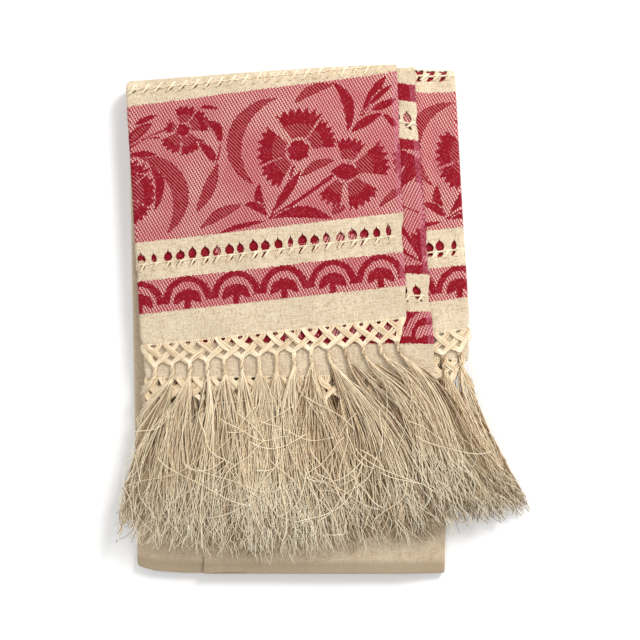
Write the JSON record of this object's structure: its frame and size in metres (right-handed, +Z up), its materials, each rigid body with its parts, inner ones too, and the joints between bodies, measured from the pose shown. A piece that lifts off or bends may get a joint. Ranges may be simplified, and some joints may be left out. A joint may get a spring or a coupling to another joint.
{
  "type": "damask table runner, folded",
  "caption": "Long fringed linen table runner with red damask end borders, folded into a flat oblong stack with its knotted fringes lying over it.",
  "frame": {"origin": "middle of the bounding box's bottom face, on the surface the runner lies on", "axes": "+Y from the half fold up to the turned edge, +X across the folded runner to the side where its fringe swings out, +Z up through the layers"},
  "size_m": [0.2338, 0.307, 0.0153],
  "materials": {
    "damask_linen": "woven linen, cream with turkey-red damask borders",
    "fringe_yarn": "loose soft linen yarn, unbleached"
  },
  "bodies": {
    "root": {"cloth": "damask_linen", "fringe_top_end": "fringe_yarn", "fringe_under_end": "fringe_yarn"}
  },
  "joints": []
}
